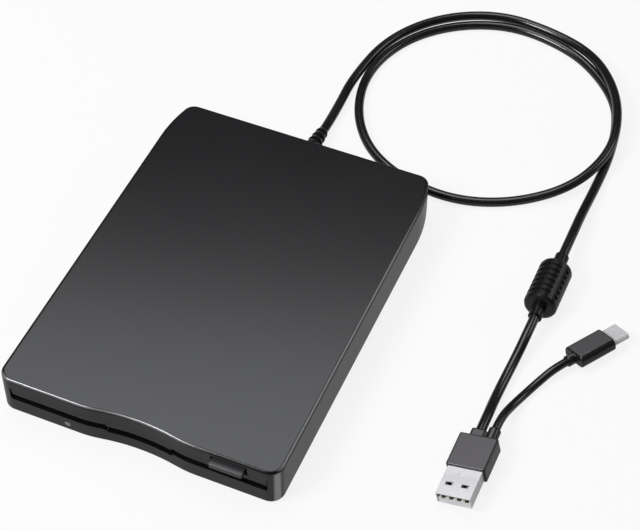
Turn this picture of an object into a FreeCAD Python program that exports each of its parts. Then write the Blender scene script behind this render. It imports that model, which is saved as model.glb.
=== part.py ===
import FreeCAD, Part
import math
import os

# External floppy disk drive with its cord, ferrite bead and two USB plugs.
# Millimetres. X to the right, Y to the rear, Z up, feet on z = 0.

Vector = FreeCAD.Vector
right_way = Vector(1, 0, 0)
rear_way = Vector(0, 1, 0)
up_way = Vector(0, 0, 1)

# ---- the disk the drive is made for
disk_width = 90.0
disk_length = 94.0
disk_thickness = 3.3
disk_hub_to_edge = 46.4
disk_behind_face = 7.825
outer_track_radius = 39.5
head_travel = 15.0
media_above_bottom = 1.55

# ---- sheet, wall and play
wall = 1.6
top_skin = 1.5
floor_skin = 1.4
disk_side_play = 0.5
disk_height_play = 0.55
carrier_sheet = 0.6
plate_sheet = 0.5
rail_gap = 0.8
rail_sheet = 0.6
chassis_gap = 0.4
chassis_sheet = 0.8
case_gap = 1.0
free_gap = 0.3
pin_play = 0.35
running_play = 0.05
cover_seam = 0.15
cable_room = 10.6
riser_gap = 0.8
riser_depth = 7.0
bracket_gap = 1.8
motor_radius = 4.6
motor_length = 9.0
motor_rear_gap = 4.175

# ---- the case
foot_height = 0.8
front_corner = 5.0
rear_corner = 4.5
side_break = 52.0
side_bend = 55.0
wave_depth = 1.95
wave_centre_radius = 77.0
wave_blend_radius = 40.0
rim_round = 1.2
foot_radius = 4.0
foot_pocket = 0.5
foot_side_inset = 11.3
foot_front_inset = 11.8
foot_rear_inset = 16.2

# ---- board and motor stack
board_gap = 0.3
board_sheet = 0.6
lip_gap = 0.4
carrier_drop = 2.0
slide_travel = 4.6
carrier_pin_radius = 0.8
arm_sheet = 0.8
shield_sheet = 0.4

# ---- front openings and what fills them
slot_left = 46.7
slot_right = 47.3
slot_bottom_z = 7.0
slot_top_z = 12.9
notch_half = 12.4
notch_shift = 0.4
notch_drop = 1.15
door_recess = 0.15
door_sheet = 1.0
door_pin_radius = 0.45
door_lead = 3.525
door_hinge_drop = 2.4
led_x = -25.7
led_z = 3.9
led_width = 2.1
led_height = 1.8
led_round = 0.6
button_proud = 2.35
button_left = 27.5
button_right = 39.2
button_bottom_z = 12.0
button_height = 1.9

# ---- cord, ferrite and plugs
cord_radius = 1.8
branch_radius = 1.5
relief_x = -2.0
relief_z = 5.15
relief_end = (-2.0, 91.0, 3.05)
relief_radius = 3.65
relief_ribs = 6
rib_lead = 1.7
rib_pitch = 3.05
rib_depth = 0.75
rib_taper = 0.25
ferrite_x = 102.6
ferrite_rear_y = 58.2
ferrite_front_y = 38.5
ferrite_radius = 6.0
ferrite_collar = 2.5
collar_rear_y = 64.2
collar_front_y = 33.8
plug_a_face = (103.08, -36.15)
plug_a_width = 13.7
plug_a_thick = 6.3
plug_a_length = 13.95
plug_a_neck = 3.2
plug_a_roll = 13.0
shell_a_width = 12.0
shell_a_thick = 4.5
shell_a_length = 11.75
shell_a_sheet = 0.3
plug_c_face = (128.27, 36.21)
plug_c_width = 9.8
plug_c_thick = 4.8
plug_c_length = 14.5
plug_c_yaw = -33.1
plug_c_roll = 15.3
plug_c_collar = 3.0
shell_c_width = 8.34
shell_c_thick = 2.56
shell_c_length = 6.65
shell_embed = 2.0

# ---- worked out from the above, across the width
channel_half = disk_width / 2 + disk_side_play
carrier_half = channel_half + carrier_sheet
rail_inner = carrier_half + rail_gap
rail_outer = rail_inner + rail_sheet
chassis_inner = rail_outer + chassis_gap
chassis_half = chassis_inner + chassis_sheet
inner_half = chassis_half + case_gap
half_width = inner_half + wall

# ---- worked out, upward
case_bottom_z = foot_height
floor_top_z = case_bottom_z + floor_skin
board_bottom_z = floor_top_z + board_gap
chassis_bottom_z = board_bottom_z + board_sheet
chassis_floor_z = chassis_bottom_z + chassis_sheet
lip_low_z = chassis_floor_z + lip_gap
lip_bottom_z = lip_low_z + carrier_drop
lip_top_z = lip_bottom_z + carrier_sheet
channel_top_z = lip_top_z + disk_thickness + 2 * disk_height_play
carrier_top_z = channel_top_z + plate_sheet
slider_bottom_z = carrier_top_z + rail_gap / 2
slider_top_z = slider_bottom_z + rail_sheet
arm_bottom_z = slider_top_z + free_gap
arm_top_z = arm_bottom_z + arm_sheet
shield_bottom_z = arm_top_z + 1.0
shield_top_z = shield_bottom_z + shield_sheet
ceiling_z = shield_top_z + 0.2
case_top_z = ceiling_z + top_skin
disk_low_z = lip_top_z + disk_height_play - carrier_drop
media_z = disk_low_z + media_above_bottom

# ---- worked out, front to rear: the case is as deep as what lies behind its face
heads_depth = riser_gap + head_travel + riser_depth + bracket_gap
motor_depth = chassis_sheet + motor_length + motor_rear_gap
case_depth = disk_behind_face + disk_length + heads_depth + motor_depth + wall
body_middle_y = button_proud / 2
front_y = body_middle_y - case_depth / 2
rear_y = body_middle_y + case_depth / 2
inner_front_y = front_y + wall
inner_rear_y = rear_y - wall
bend_y = body_middle_y + side_break
door_hinge_y = front_y + door_lead
door_hinge_z = case_top_z - door_hinge_drop
carrier_front_y = door_hinge_y + 8.1
disk_rear_y = front_y + disk_behind_face + disk_length
hub_y = disk_rear_y - disk_hub_to_edge
carrier_rear_y = disk_rear_y + 0.5
head_y = hub_y + outer_track_radius
riser_front_y = disk_rear_y + riser_gap + head_travel
riser_rear_y = riser_front_y + riser_depth
bracket_y = riser_rear_y + bracket_gap
motor_front_y = bracket_y + chassis_sheet
chassis_front_y = carrier_front_y - 1.3
chassis_rear_y = inner_rear_y - cable_room
wave_angle = math.degrees(math.acos(1 - wave_depth / (wave_centre_radius + wave_blend_radius)))
wave_half = (wave_centre_radius + wave_blend_radius) * math.sin(math.radians(wave_angle))
bend_centre_x = half_width - side_bend
rear_corner_y = rear_y - rear_corner
bend_angle = math.degrees(math.asin((rear_corner_y - bend_y) / (side_bend - rear_corner)))
rear_corner_x = bend_centre_x + (side_bend - rear_corner) * math.cos(math.radians(bend_angle))
pin_z = (lip_top_z + channel_top_z) / 2 + 0.2
pin_rows = (carrier_front_y + 13.225, disk_rear_y - 14.0)
spindle_pins = 10.0
rod_x = -16.0
rod_radius = 0.7
rod_z = chassis_floor_z + 0.5
screw_x = 17.0
screw_z = 8.8
screw_radius = 1.2
screw_pitch = 3.0
journal_radius = 0.6
arm_hinge_y = riser_front_y + 4.2
arm_hinge_z = arm_bottom_z + 0.3
lever_x = -15.0
lever_y = disk_rear_y + 5.0
lever_reach = 28.5
lever_rest = -97.0
lever_end = -171.5
boss_x = inner_half - 7.7
boss_y = rear_y - 7.7
post_x = chassis_half - 12.7
post_rows = (chassis_front_y + 17.5, disk_rear_y - 5.0)
sensor_y = carrier_front_y + 4.225
sensor_pins = (-channel_half + 5.0, channel_half - 9.5, channel_half - 5.0)
slider_front_y = carrier_front_y + 5.2
slider_rear_y = hub_y - 0.6
spring_x = rail_inner - 4.9
spring_z = slider_top_z + 0.9
spring_front_y = slider_front_y + 5.0
spring_rear_y = slider_rear_y - 5.0
relief_flange_y = inner_rear_y - 2.0
usb_front_y = chassis_rear_y + 1.2
usb_rear_y = relief_flange_y - 0.8

# ---- routes of the three lengths of cord, centre line corners
cord_upper_route = [
    relief_end,
    (-2.0, 96.0, 2.48),
    (-2.4, 108.0, 1.8),
    (-3.2, 124.5, 1.8),
    (0.8, 150.8, 1.8),
    (15.9, 171.6, 1.8),
    (38.3, 182.8, 1.8),
    (61.5, 180.8, 1.8),
    (80.3, 172.0, 4.1),
    (93.5, 155.5, 6.4),
    (100.6, 138.5, 7.0),
    (102.9, 120.0, 6.3),
    (95.2, 100.0, 4.5),
    (78.0, 86.5, 1.8),
    (58.0, 78.5, 1.8),
    (37.5, 80.0, 1.8),
    (19.2, 88.5, 1.8),
    (6.8, 104.0, 1.8),
    (1.0, 123.5, 1.8),
    (2.9, 141.8, 1.8),
    (11.8, 159.0, 1.8),
    (27.4, 172.0, 1.8),
    (47.0, 178.2, 1.8),
    (70.3, 173.6, 1.8),
    (85.2, 163.8, 1.8),
    (96.1, 151.2, 1.8),
    (100.7, 136.9, 1.8),
    (102.5, 120.5, 1.8),
    (102.4, 104.0, 2.0),
    (102.2, 89.0, 3.9),
    (ferrite_x, 75.0, ferrite_radius),
    (ferrite_x, collar_rear_y, ferrite_radius),
]


def box(x0, x1, y0, y1, z0, z1):
    return Part.makeBox(x1 - x0, y1 - y0, z1 - z0, Vector(x0, y0, z0))


def rod(x, y, z, radius, length, way):
    return Part.makeCylinder(radius, length, Vector(x, y, z), way)


def tube_piece(x, y, z, outer, inner, length, way):
    return rod(x, y, z, outer, length, way).cut(rod(x, y, z, inner, length, way))


def prism(points, way, length):
    corners = [Vector(*p) for p in points]
    face = Part.Face(Part.makePolygon(corners + [corners[0]]))
    return face.extrude(way * length)


def prism_x(points, x0, x1):
    return prism([(x0, y, z) for y, z in points], right_way, x1 - x0)


def prism_y(points, y0, y1):
    return prism([(x, y0, z) for x, z in points], rear_way, y1 - y0)


def rounded_plate(x0, x1, y0, y1, z0, z1, radius):
    plate = box(x0, x1, y0, y1, z0, z1)
    upright = [e for e in plate.Edges if abs(e.Vertexes[0].Z - e.Vertexes[1].Z) > 0.9 * (z1 - z0)]
    return plate.makeFillet(radius, upright)


def rounded_opening(x0, x1, z0, z1, y0, y1, radius):
    block = box(x0, x1, y0, y1, z0, z1)
    along = [e for e in block.Edges if abs(e.Vertexes[0].Y - e.Vertexes[1].Y) > 0.9 * (y1 - y0)]
    return block.makeFillet(radius, along)


def slotted_hole(start, end, radius, way, length):
    a = Vector(*start)
    b = Vector(*end)
    across = (b - a).normalize().cross(way) * radius
    ends = [a + across, b + across, b - across, a - across]
    face = Part.Face(Part.makePolygon(ends + [ends[0]]))
    hole = face.extrude(way * length)
    hole = hole.fuse(Part.makeCylinder(radius, length, a, way))
    return hole.fuse(Part.makeCylinder(radius, length, b, way)).removeSplitter()


def join(shape, others):
    return shape.fuse(others).removeSplitter()


def both_sides(make):
    return [make(-1), make(1)]


def turned(shape, way, angle, centre=Vector(0, 0, 0)):
    copy = shape.copy()
    copy.rotate(centre, way, angle)
    return copy


def arc_about(x, y, z, radius, start, end):
    def at(angle):
        turn = math.radians(angle)
        return Vector(x + radius * math.cos(turn), y + radius * math.sin(turn), z)
    return Part.Arc(at(start), at((start + end) / 2), at(end)).toShape()


def line(x0, y0, x1, y1, z):
    return Part.makeLine(Vector(x0, y0, z), Vector(x1, y1, z))


# Front wave at a depth behind the face, from left_x to right_x.
def wave_edges(inset, z, left_x, right_x):
    y = front_y + inset
    blend = wave_blend_radius - inset
    blend_y = front_y + wave_blend_radius
    dish_y = front_y + wave_depth - wave_centre_radius
    return [
        line(left_x, y, -wave_half, y, z),
        arc_about(-wave_half, blend_y, z, blend, -90, -90 + wave_angle),
        arc_about(0, dish_y, z, wave_centre_radius + inset, 90 + wave_angle, 90 - wave_angle),
        arc_about(wave_half, blend_y, z, blend, -90 - wave_angle, -90),
        line(wave_half, y, right_x, y, z),
    ]


# Plan outline of the case moved inward by inset.
def plan_face(inset, z):
    side = half_width - inset
    corner_x = half_width - front_corner
    corner_y = front_y + front_corner
    small = front_corner - inset
    bend = side_bend - inset
    back = rear_corner - inset
    rear = rear_y - inset
    edges = wave_edges(inset, z, -corner_x, corner_x)
    edges.append(arc_about(corner_x, corner_y, z, small, -90, 0))
    edges.append(line(side, corner_y, side, bend_y, z))
    edges.append(arc_about(bend_centre_x, bend_y, z, bend, 0, bend_angle))
    edges.append(arc_about(rear_corner_x, rear_corner_y, z, back, bend_angle, 90))
    edges.append(line(rear_corner_x, rear, -rear_corner_x, rear, z))
    edges.append(arc_about(-rear_corner_x, rear_corner_y, z, back, 90, 180 - bend_angle))
    edges.append(arc_about(-bend_centre_x, bend_y, z, bend, 180 - bend_angle, 180))
    edges.append(line(-side, bend_y, -side, corner_y, z))
    edges.append(arc_about(-corner_x, corner_y, z, small, 180, 270))
    return Part.Face(Part.Wire(Part.__sortEdges__(edges)))


def level_edges(shape, z):
    return [e for e in shape.Edges if all(abs(v.Z - z) < 1e-4 for v in e.Vertexes)]


def front_cut(x0, x1, z0, z1, radius):
    return rounded_opening(x0, x1, z0, z1, front_y - 1, front_y + wave_depth + wall + 0.6, radius)


# Ear that carries one end of the door hinge, hanging from the ceiling.
def hinge_ear(x0, x1):
    ear = box(x0, x1, inner_front_y - 0.4, door_hinge_y + 1.5, door_hinge_z - 1.2, ceiling_z + 0.4)
    return ear


def make_top_cover():
    height = case_top_z - case_bottom_z
    shell = plan_face(0, case_bottom_z).extrude(up_way * height)
    shell = shell.makeFillet(rim_round, level_edges(shell, case_top_z))
    shell = shell.makeFillet(rim_round / 2, level_edges(shell, case_bottom_z))
    hollow = plan_face(wall, case_bottom_z - 1).extrude(up_way * (ceiling_z - case_bottom_z + 1))
    shell = shell.cut(hollow)
    ear_left = -slot_left - 0.05
    ear_right = slot_right + 0.05
    ears = [hinge_ear(-inner_half - 0.4, ear_left), hinge_ear(ear_right, inner_half + 0.4)]
    boss_base = floor_top_z
    bosses = [rod(s * boss_x, boss_y, boss_base, 2.6, ceiling_z + 0.4 - boss_base, up_way) for s in (-1, 1)]
    shell = shell.fuse(ears + bosses)
    hole = door_pin_radius + running_play
    cuts = [
        rod(ear_left - 1.6, door_hinge_y, door_hinge_z, hole, 2.0, right_way),
        rod(ear_right - 0.4, door_hinge_y, door_hinge_z, hole, 2.0, right_way),
        front_cut(-slot_left, slot_right, slot_bottom_z, slot_top_z, 0.5),
        front_cut(notch_shift - notch_half, notch_shift + notch_half,
                  slot_bottom_z - notch_drop, slot_bottom_z + 1, 0.8),
        front_cut(button_left - free_gap, button_right + 1.0, slot_top_z - 1, ceiling_z - 0.1, 0.4),
        front_cut(led_x - led_width / 2, led_x + led_width / 2, led_z - led_height / 2,
                  led_z + led_height / 2, led_round),
        rod(relief_x, inner_rear_y - 1, relief_z, relief_neck_radius, wall + 2, rear_way),
    ]
    for side in (-1, 1):
        cuts.append(rod(side * boss_x, boss_y, boss_base, cover_screw_radius, 7.0, up_way))
        cuts.append(box(side * hook_x - 3.2, side * hook_x + 3.2, inner_front_y - 0.8, inner_front_y + 0.1,
                        hook_top_z - 1.7, hook_top_z - 0.3))
    return shell.cut(cuts)


hook_x = half_width - 16.3
hook_top_z = floor_top_z + 3.0
relief_neck_radius = 2.7
cover_screw_radius = 1.0
foot_x = half_width - foot_side_inset
foot_rows = (front_y + foot_front_inset, rear_y - foot_rear_inset)
foot_places = [(side * foot_x, y) for side in (-1, 1) for y in foot_rows]
board_posts = [(-34.0, boss_y), (4.0, boss_y)]
usb_board_z = floor_top_z + 1.2


def make_bottom_cover():
    plate = plan_face(wall + cover_seam, case_bottom_z).extrude(up_way * floor_skin)
    added = []
    for side in (-1, 1):
        hook_y = inner_front_y + cover_seam
        middle = side * hook_x
        added.append(box(middle - 2.8, middle + 2.8, hook_y, hook_y + 1.0, floor_top_z - 0.2, hook_top_z))
        added.append(box(middle - 2.8, middle + 2.8, hook_y - 0.65, hook_y + 0.2, hook_top_z - 1.4, hook_top_z - 0.6))
        for y in post_rows:
            added.append(rod(side * post_x, y, floor_top_z - 0.2, 3.0, chassis_bottom_z - floor_top_z + 0.2, up_way))
    for x, y in board_posts:
        added.append(rod(x, y, floor_top_z - 0.2, 1.6, usb_board_z - floor_top_z + 0.2, up_way))
    plate = plate.fuse(added)
    cuts = []
    for x, y in foot_places:
        cuts.append(rod(x, y, case_bottom_z, foot_radius, foot_pocket, up_way))
    for side in (-1, 1):
        cuts.append(rod(side * boss_x, boss_y, case_bottom_z, cover_screw_radius, floor_skin, up_way))
        cuts.append(rod(side * boss_x, boss_y, case_bottom_z, 2.3, 0.8, up_way))
        for y in post_rows:
            depth = chassis_bottom_z - floor_top_z + floor_skin / 2
            cuts.append(rod(side * post_x, y, chassis_bottom_z - depth, 0.8, depth, up_way))
    return plate.cut(cuts)


def make_rubber_feet():
    feet = []
    for x, y in foot_places:
        foot = rod(x, y, 0, foot_radius, foot_height + foot_pocket, up_way)
        feet.append(foot.makeChamfer(0.3, level_edges(foot, 0)))
    return Part.makeCompound(feet)


# Flat-headed screw standing on its tip, head upward unless turned over.
def flat_screw(x, y, tip_z, head_z, shank, head, head_height):
    screw = rod(x, y, tip_z, shank, head_z - tip_z, up_way)
    top = rod(x, y, head_z, head, head_height, up_way)
    recess = box(x - head * 0.6, x + head * 0.6, y - 0.2, y + 0.2, head_z + head_height / 2, head_z + head_height)
    cross = box(x - 0.2, x + 0.2, y - head * 0.6, y + head * 0.6, head_z + head_height / 2, head_z + head_height)
    return screw.fuse(top).cut([recess, cross])


def make_cover_screws():
    screws = []
    for side in (-1, 1):
        x = side * boss_x
        flat_z = case_bottom_z + 0.8
        screw = flat_screw(x, boss_y, -flat_z - 6.0, -flat_z, cover_screw_radius, 2.2, 0.6)
        screws.append(turned(screw, right_way, 180, Vector(x, boss_y, 0)))
    return Part.makeCompound(screws)


def make_led_window():
    back = inner_front_y + 1.2
    return rounded_opening(led_x - led_width / 2, led_x + led_width / 2, led_z - led_height / 2,
                           led_z + led_height / 2, front_y, back, led_round)


led_board_top_z = floor_top_z + 0.6


def make_led_board():
    return rounded_plate(led_x - 5, led_x + 5, inner_front_y + 1.4, inner_front_y + 7.4,
                         floor_top_z, led_board_top_z, 0.5)


def make_led():
    y = inner_front_y + 1.5
    body = box(led_x - 1.5, led_x + 1.5, y + 0.5, y + 2.4, led_board_top_z, led_z + 0.9)
    lens = rod(led_x, y, led_z, 0.75, 0.6, rear_way)
    return body.fuse(lens)


def chassis_wall(side):
    x0 = min(side * chassis_inner, side * chassis_half)
    wall_piece = box(x0, x0 + chassis_sheet, chassis_front_y + 2, chassis_rear_y - 5,
                     chassis_bottom_z, shield_bottom_z)
    cuts = [box(x0 - 1, x0 + 2, pin_rows[0] + 12, pin_rows[1] - 10, chassis_floor_z + 2.5, shield_bottom_z - 2.5)]
    hole = carrier_pin_radius + pin_play
    for y in pin_rows:
        cuts.append(slotted_hole((x0 - 1, y, pin_z), (x0 - 1, y, pin_z - carrier_drop), hole, right_way, 3))
    return wall_piece.cut(cuts)


# Floor with upright sides and board stand-offs.
def make_chassis_frame():
    plate = rounded_plate(-chassis_half, chassis_half, chassis_front_y, chassis_rear_y,
                          chassis_bottom_z, chassis_floor_z, 1.0)
    added = both_sides(chassis_wall)
    for x, y in board_stands:
        added.append(rod(x, y, chassis_bottom_z, 1.6, control_board_z - chassis_bottom_z, up_way))
    frame = plate.fuse(added)
    block = (rod_x - 3.2, rod_x + 3.2)
    cuts = [
        rod(0, hub_y, chassis_bottom_z - 1, 24.0, 3, up_way),
        box(block[0], block[1], riser_front_y - head_travel - 0.8, riser_rear_y + 0.8,
            chassis_bottom_z - 1, chassis_floor_z + 1),
        box(rod_x - 1.1, rod_x + 1.1, rod_front_y - 0.3, rod_rear_y + 0.3, chassis_bottom_z - 1, chassis_floor_z + 1),
        box(-32, -20, chassis_front_y - 1, chassis_front_y + 4, chassis_bottom_z - 1, chassis_floor_z + 1),
        rounded_plate(26, 42, chassis_rear_y - 22, chassis_rear_y - 6, chassis_bottom_z - 1, chassis_floor_z + 1, 2.0),
    ]
    for x in sensor_pins:
        cuts.append(rod(x, sensor_y, chassis_bottom_z - 1, 1.4, 3, up_way))
    for side in (-1, 1):
        for y in post_rows:
            cuts.append(rod(side * post_x, y, chassis_bottom_z - 1, 0.8, 3, up_way))
    return frame.cut(cuts)


rod_front_y = disk_rear_y - 4.5
rod_rear_y = chassis_rear_y - 0.8
control_board_z = chassis_floor_z + 0.9
board_left = -chassis_inner + 1.5
board_right = -21.0
board_front_y = disk_rear_y + 4.0
board_rear_y = chassis_rear_y - 2.0
board_stands = [(x, y) for x in (board_left + 2.4, board_right - 3.0)
                for y in (board_front_y + 2.5, board_rear_y - 2.5)]


def make_chassis_screws():
    screws = []
    for side in (-1, 1):
        for y in post_rows:
            screws.append(flat_screw(side * post_x, y, chassis_bottom_z - 1.5, chassis_floor_z, 0.8, 1.7, 0.6))
    return Part.makeCompound(screws)


def make_top_shield():
    plate = rounded_plate(-chassis_half, chassis_half, chassis_front_y + 4.0, chassis_rear_y - 5,
                          shield_bottom_z, shield_top_z, 2.0)
    low = shield_bottom_z - 1
    high = shield_top_z + 1
    cuts = [
        box(-10, 10, head_y - 22, chassis_rear_y, low, high),
        rounded_plate(-34, -16, hub_y - 22, hub_y + 6, low, high, 3.0),
        rounded_plate(16, 34, hub_y - 22, hub_y + 6, low, high, 3.0),
    ]
    hooks = []
    for side in (-1, 1):
        hooks.append(rod(side * spring_x, spring_front_y, slider_top_z + 0.4, 0.6,
                         shield_bottom_z - slider_top_z, up_way))
    return plate.cut(cuts).fuse(hooks)


# One length of the door panel: upright above, drawn inward below curve_top_z.
def door_panel(curve_top_z, bottom_z, x0, x1):
    top_z = slot_top_z - cover_seam
    levels = [(top_z, 0.0), (curve_top_z, 0.0)]
    reach = curve_top_z - bottom_z
    for step in (0.2, 0.4, 0.6, 0.8, 1.0):
        levels.append((curve_top_z - reach * step, door_curve * step * step))
    wires = []
    for z, extra in levels:
        near = wave_edges(door_recess + extra, z, x0, x1)
        far = wave_edges(door_recess + extra + door_sheet, z, x0, x1)
        y_near = front_y + door_recess + extra
        sides = [line(x0, y_near, x0, y_near + door_sheet, z), line(x1, y_near, x1, y_near + door_sheet, z)]
        wires.append(Part.Wire(Part.__sortEdges__(near + far + sides)))
    return Part.makeLoft(wires, True, True)


door_curve = 1.0
door_bottom_z = slot_bottom_z + 0.9
tab_bottom_z = slot_bottom_z + 0.15
door_left = -slot_left + free_gap
door_right = slot_right - free_gap
tab_left = notch_shift - notch_half + 0.4
tab_right = notch_shift + notch_half - 0.4
shelf_z = slot_top_z - 1.0


def door_arm(x0, x1):
    front = front_y + door_recess + 0.2
    lid_z = slot_top_z - 0.2
    points = [(front, shelf_z), (front, lid_z), (inner_front_y + 0.3, lid_z),
              (door_hinge_y - 0.4, door_hinge_z + 0.45), (door_hinge_y + 0.55, door_hinge_z - 0.2),
              (door_hinge_y + 0.4, shelf_z)]
    boss = rod(x0, door_hinge_y, door_hinge_z, 0.6, x1 - x0, right_way)
    return prism_x(points, x0, x1).fuse(boss)


def make_dust_door():
    low = door_panel(shelf_z - 1.3, door_bottom_z, door_left, door_right)
    mid = door_panel(shelf_z - 2.6, tab_bottom_z, door_left, door_right)
    keep = box(tab_left, tab_right, front_y - 1, front_y + 8, 0, slot_top_z)
    panel = low.cut(keep).fuse(mid.common(keep))
    shelf_rear = door_hinge_y + 0.4
    wave_block = box(door_left, door_right, front_y, shelf_rear, shelf_z, slot_top_z - cover_seam)
    hollow = plan_face(door_recess + 0.3, shelf_z - 1).extrude(up_way * 4)
    panel = panel.fuse(wave_block.common(hollow))
    arms = [door_arm(door_left, door_left + 1.5), door_arm(door_right - 1.5, door_right)]
    pins = [rod(door_left - 1.4, door_hinge_y, door_hinge_z, door_pin_radius, 1.6, right_way),
            rod(door_right - 0.2, door_hinge_y, door_hinge_z, door_pin_radius, 1.6, right_way)]
    door = panel.fuse(arms + pins).removeSplitter()
    button_gap = box(button_left - 0.9, button_right + 1.2, front_y - 1, door_hinge_y + 2,
                     button_bottom_z - free_gap, case_top_z)
    left = -slot_left - 0.4
    wedge = prism_y([(left, slot_top_z), (door_left + 0.1, slot_top_z - 0.8), (door_left + 0.7, door_bottom_z + 1.0),
                     (door_left + 0.7, 5.0), (left, 5.0)], front_y - 1, front_y + 2.6)
    return door.cut([button_gap, wedge])


# Close-wound coil drawn as a ribbed sleeve about its own axis.
def coil(x, y, z, way, length, outer, inner, turns):
    pitch = length / (turns - 0.4)
    points = [(inner, 0)]
    for turn in range(turns):
        start = turn * pitch
        if turn > 0:
            points.append((outer - 0.25, start))
        points.append((outer, start))
        points.append((outer, start + pitch * 0.6))
        if turn < turns - 1:
            points.append((outer - 0.25, start + pitch * 0.6))
    points.append((inner, length))
    corners = [Vector(r, 0, h) for r, h in points]
    face = Part.Face(Part.makePolygon(corners + [corners[0]]))
    body = face.revolve(Vector(0, 0, 0), up_way, 360)
    body.Placement = FreeCAD.Placement(Vector(x, y, z), FreeCAD.Rotation(up_way, way))
    return body


def make_eject_button():
    left = button_left
    right = button_right
    top = button_bottom_z + button_height
    nose_y = front_y - button_proud
    nose = box(left, right, nose_y, door_hinge_y + 0.1, button_bottom_z, top)
    front_loop = [e for e in nose.Edges if all(abs(v.Y - nose_y) < 1e-4 for v in e.Vertexes)]
    nose = nose.makeFillet(0.7, front_loop)
    seat = slider_front_y
    stem = box(left + 2.4, right - 2.4, door_hinge_y, seat + 5.0, slider_top_z, top)
    return join(nose, [stem])


rail_bottom_z = lip_bottom_z - 1.1


def slider_rail(side):
    x0 = min(side * rail_inner, side * rail_outer)
    rail_rear = disk_rear_y - 4.0
    rail = box(x0, x0 + rail_sheet, slider_front_y, rail_rear, rail_bottom_z, slider_top_z)
    hole = carrier_pin_radius + pin_play
    cuts = []
    for y in pin_rows:
        start = (x0 - 1, y, pin_z)
        end = (x0 - 1, y + slide_travel, pin_z - carrier_drop)
        cuts.append(slotted_hole(start, end, hole, right_way, 3))
    low = carrier_top_z - 0.2
    high = slider_top_z + 1
    start = slider_rear_y + 5.0
    cuts.append(prism_x([(start, high), (start, low), (rail_rear + 1, low - 0.4), (rail_rear + 1, high)],
                        x0 - 1, x0 + 2))
    return rail.cut(cuts)


def make_eject_slider():
    plate = box(-rail_outer, rail_outer, slider_front_y, slider_rear_y, slider_bottom_z, slider_top_z)
    window = rounded_plate(-30, 30, slider_front_y + 8, slider_rear_y - 7, slider_bottom_z - 1, slider_top_z + 1, 4.0)
    plate = plate.cut(window)
    posts = [rod(s * spring_x, spring_rear_y, slider_bottom_z, 0.6, 2.2, up_way) for s in (-1, 1)]
    return join(plate, both_sides(slider_rail) + posts)


def long_eye(x, y0, y1, z, wide):
    outer = slotted_hole((x, y0, z - 0.2), (x, y1, z - 0.2), wide, up_way, 0.4)
    inner = slotted_hole((x, y0, z - 0.3), (x, y1, z - 0.3), wide - 0.4, up_way, 0.6)
    return outer.cut(inner)


def make_slider_springs():
    springs = []
    post = 0.6
    wide = post + free_gap + 0.4
    for side in (-1, 1):
        x = side * spring_x
        coil_front = spring_front_y + 1.6
        coil_rear = spring_rear_y - slide_travel - 1.1
        body = coil(x, coil_front, spring_z, rear_way, coil_rear - coil_front, 0.8, 0, 5)
        front_eye = long_eye(x, spring_front_y - 0.05, spring_front_y + 0.5, spring_z, wide)
        rear_eye = long_eye(x, spring_rear_y - slide_travel, spring_rear_y + 0.05, spring_z, wide)
        springs.append(body.fuse([front_eye, rear_eye]))
    return Part.makeCompound(springs)


# Sheet channel the disk slides into; open below, with turned-in lips.
def make_disk_carrier():
    y0 = carrier_front_y
    y1 = carrier_rear_y
    outer = box(-carrier_half, carrier_half, y0, y1, lip_bottom_z, carrier_top_z)
    inner = box(-channel_half, channel_half, y0 - 1, y1 + 1, lip_top_z, channel_top_z)
    under = box(-channel_half + 2.3, channel_half - 2.3, y0 - 1, y1 + 1, lip_bottom_z - 1, lip_top_z + 1)
    ear = rounded_plate(lever_x - 5, lever_x + 4, y1 - 5, lever_y + 4.2, channel_top_z, carrier_top_z, 2.0)
    shape = outer.cut([inner, under]).fuse(ear)
    peg = 1.0 + pin_play
    sweep = Part.makeCylinder(lever_reach + peg, 4, Vector(lever_x, lever_y, channel_top_z - 1), up_way, 360)
    sweep = sweep.cut(Part.makeCylinder(lever_reach - peg, 4, Vector(lever_x, lever_y, channel_top_z - 1), up_way))
    front_side = box(-channel_half + 0.4, lever_x, 0, lever_y + 0.2, channel_top_z - 1, carrier_top_z + 1)
    cuts = [
        box(-6.5, 6.5, hub_y + 15.4, y1 + 1, channel_top_z - 1, carrier_top_z + 1),
        rounded_plate(-16, 16, hub_y - 16, hub_y + 12, channel_top_z - 1, carrier_top_z + 1, 6.0),
        rounded_plate(-38, -24, y0 + 14, hub_y - 6, channel_top_z - 1, carrier_top_z + 1, 2.0),
        rounded_plate(24, 38, y0 + 14, hub_y - 6, channel_top_z - 1, carrier_top_z + 1, 2.0),
        sweep.common(front_side),
    ]
    return shape.cut(cuts)


def make_carrier_pins():
    pins = []
    length = chassis_half - 0.2 - carrier_half
    for y in pin_rows:
        pins.append(rod(carrier_half, y, pin_z, carrier_pin_radius, length, right_way))
        pins.append(rod(-carrier_half - length, y, pin_z, carrier_pin_radius, length, right_way))
    return Part.makeCompound(pins)


lever_bottom_z = carrier_top_z + 0.15
lever_top_z = lever_bottom_z + 0.5
lever_post_radius = 1.4


def make_lever_post():
    post = rod(lever_x, lever_y, carrier_top_z, lever_post_radius, lever_top_z - carrier_top_z + 0.15, up_way)
    head = rod(lever_x, lever_y, lever_top_z + 0.15, lever_post_radius + 0.8, 0.4, up_way)
    return post.fuse(head)


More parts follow.
